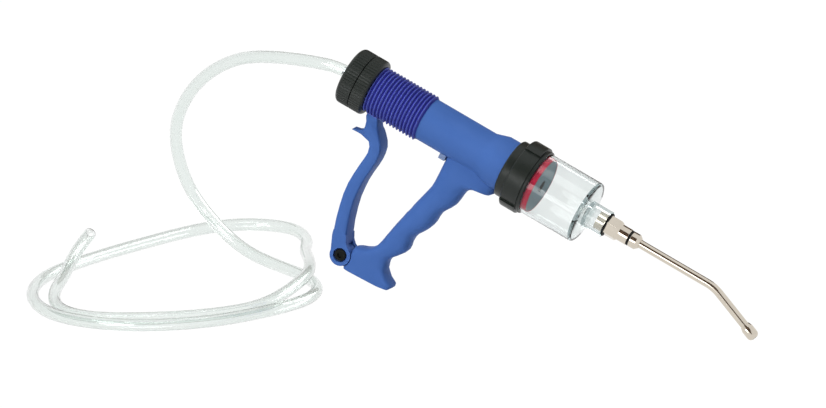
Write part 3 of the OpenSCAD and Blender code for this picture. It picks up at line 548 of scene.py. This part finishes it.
def make_hose(materials):
    """Supply hose from its seat in the cap, along its route, to its cut end."""
    start = on_axis(HOSE_START)
    route = [Vector(p) * MM for p in HOSE_ROUTE]
    end = route[-1]
    lead_in = [start + AXIS * i * HOSE_LEAD for i in (2, 1, 0)]
    lead_out = [end + HOSE_HEADING * i * HOSE_LEAD for i in (1, 2)]
    line = curve_points(lead_in + route + lead_out, HOSE_STEPS)
    tail = [end + HOSE_HEADING * HOSE_END * i / END_STEPS for i in range(1, END_STEPS + 1)]
    path = [on_axis(HOSE_SEAT)] + line + tail
    hose = hose_mesh("supply_hose", path)
    hose.data.materials.append(materials["clear_hose"])
    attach(hose, "gun")
    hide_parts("hose")


def make_spring(materials, node, body, joint, start, length, radius, wire, coils, travel):
    """Evenly wound spring along the barrel axis, put on its body in place of its CAD node."""
    spring = spring_mesh(node + "_wire", start, length, radius, wire, coils)
    spring.data.materials.append(materials["steel"])
    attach(spring, body)
    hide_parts(node)
    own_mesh(spring)


# Stage

def mix_by_sight(tree, output_kind, share, unseen, seen):
    """Ends a tree in two shaders: a share of the second one for what is seen directly, mirrored
    or through clear pieces, and the first one for all else."""
    rays = tree.nodes.new("ShaderNodeLightPath")
    sight = rays.outputs["Is Camera Ray"]
    for ray in ("Is Glossy Ray", "Is Transmission Ray"):
        sight = calculate(tree, "MAXIMUM", sight, rays.outputs[ray])
    mix = tree.nodes.new("ShaderNodeMixShader")
    output = tree.nodes.new(output_kind)
    links = tree.links
    links.new(calculate(tree, "MULTIPLY", sight, share), mix.inputs[0])
    links.new(unseen.outputs[0], mix.inputs[1])
    links.new(seen.outputs[0], mix.inputs[2])
    links.new(mix.outputs[0], output.inputs["Surface"])


def make_floor():
    """White floor with a faint shadow."""
    corners = [(i * FLOOR_REACH, j * FLOOR_REACH, FLOOR_Z) for i, j in CORNERS]
    floor = new_mesh("floor", corners, [(0, 1, 2, 3)])
    material = bpy.data.materials.new("floor_white")
    material.use_nodes = True
    tree = material.node_tree
    tree.nodes.clear()
    matt = tree.nodes.new("ShaderNodeBsdfDiffuse")
    matt.inputs["Color"].default_value = FLOOR_GREY
    white = tree.nodes.new("ShaderNodeEmission")
    white.inputs["Strength"].default_value = FLOOR_GLOW
    mix_by_sight(tree, "ShaderNodeOutputMaterial", FLOOR_SHARE, matt, white)
    floor.data.materials.append(material)


def make_world():
    """White where it is seen, a soft studio gradient as light."""
    world = bpy.data.worlds.new("studio")
    bpy.context.scene.world = world
    world.use_nodes = True
    tree = world.node_tree
    tree.nodes.clear()
    place = tree.nodes.new("ShaderNodeTexCoord")
    split = tree.nodes.new("ShaderNodeSeparateXYZ")
    height = tree.nodes.new("ShaderNodeMapRange")
    height.inputs["From Min"].default_value = -1
    ramp = tree.nodes.new("ShaderNodeValToRGB")
    ramp.color_ramp.elements[0].color = STUDIO_LOW
    ramp.color_ramp.elements[1].color = STUDIO_HIGH
    studio = tree.nodes.new("ShaderNodeBackground")
    studio.inputs["Strength"].default_value = STUDIO_STRENGTH
    white = tree.nodes.new("ShaderNodeBackground")
    white.inputs["Color"].default_value = WHITE
    links = tree.links
    links.new(place.outputs["Generated"], split.inputs[0])
    links.new(split.outputs["Z"], height.inputs["Value"])
    links.new(height.outputs["Result"], ramp.inputs["Fac"])
    links.new(ramp.outputs["Color"], studio.inputs["Color"])
    mix_by_sight(tree, "ShaderNodeOutputWorld", 1, studio, white)


def make_dark_card(name, about, roll):
    """Dark card above the gun that shows only as a reflection."""
    turn = Matrix.Rotation(about, 3, "Z")
    away = turn @ Vector((0, -math.cos(CARD_TILT), math.sin(CARD_TILT)))
    across = Matrix.Rotation(-roll, 3, away) @ turn @ Vector((1, 0, 0))
    upward = away.cross(across)
    middle = AIM_POINT + away * CARD_DISTANCE
    corners = [middle + across * i * CARD_WIDTH / 2 + upward * j * CARD_HEIGHT / 2
               for i, j in CORNERS]
    card = new_mesh(name, corners, [(0, 1, 2, 3)])
    card.visible_camera = False
    card.visible_diffuse = False
    card.visible_transmission = False
    card.visible_shadow = False
    s = Shader(name)
    colour = s.blend(s.noise(scale=4), linear(112, 94, 80), linear(122, 104, 90))
    s.link(colour, s.surface.inputs["Base Color"])
    s.put(Roughness=1, Specular_IOR_Level=0)
    card.data.materials.append(s.material)


def make_light(name, place, size, power, mirrored=False):
    """Soft square light that faces the gun, either seen only as a highlight or never as one."""
    data = bpy.data.lights.new(name, "AREA")
    data.shape = "SQUARE"
    data.size = size
    data.energy = power
    light = bpy.data.objects.new(name, data)
    light.location = place
    light.rotation_euler = (AIM_POINT - Vector(place)).to_track_quat("-Z", "Y").to_euler()
    light.visible_glossy = mirrored
    light.visible_diffuse = not mirrored
    bpy.context.scene.collection.objects.link(light)


make_camera()
MATERIALS = make_materials()
dress_nodes(MATERIALS)
make_hose(MATERIALS)
for values in SPRINGS:
    make_spring(MATERIALS, **values)
make_floor()
make_world()
make_dark_card("front_card", CARD_TURN, CARD_ROLL)
make_dark_card("rear_card", CARD_TURN + math.pi, -CARD_ROLL)
for values in LAMPS:
    make_light(**values)
bpy.context.scene.view_settings.view_transform = "Standard"
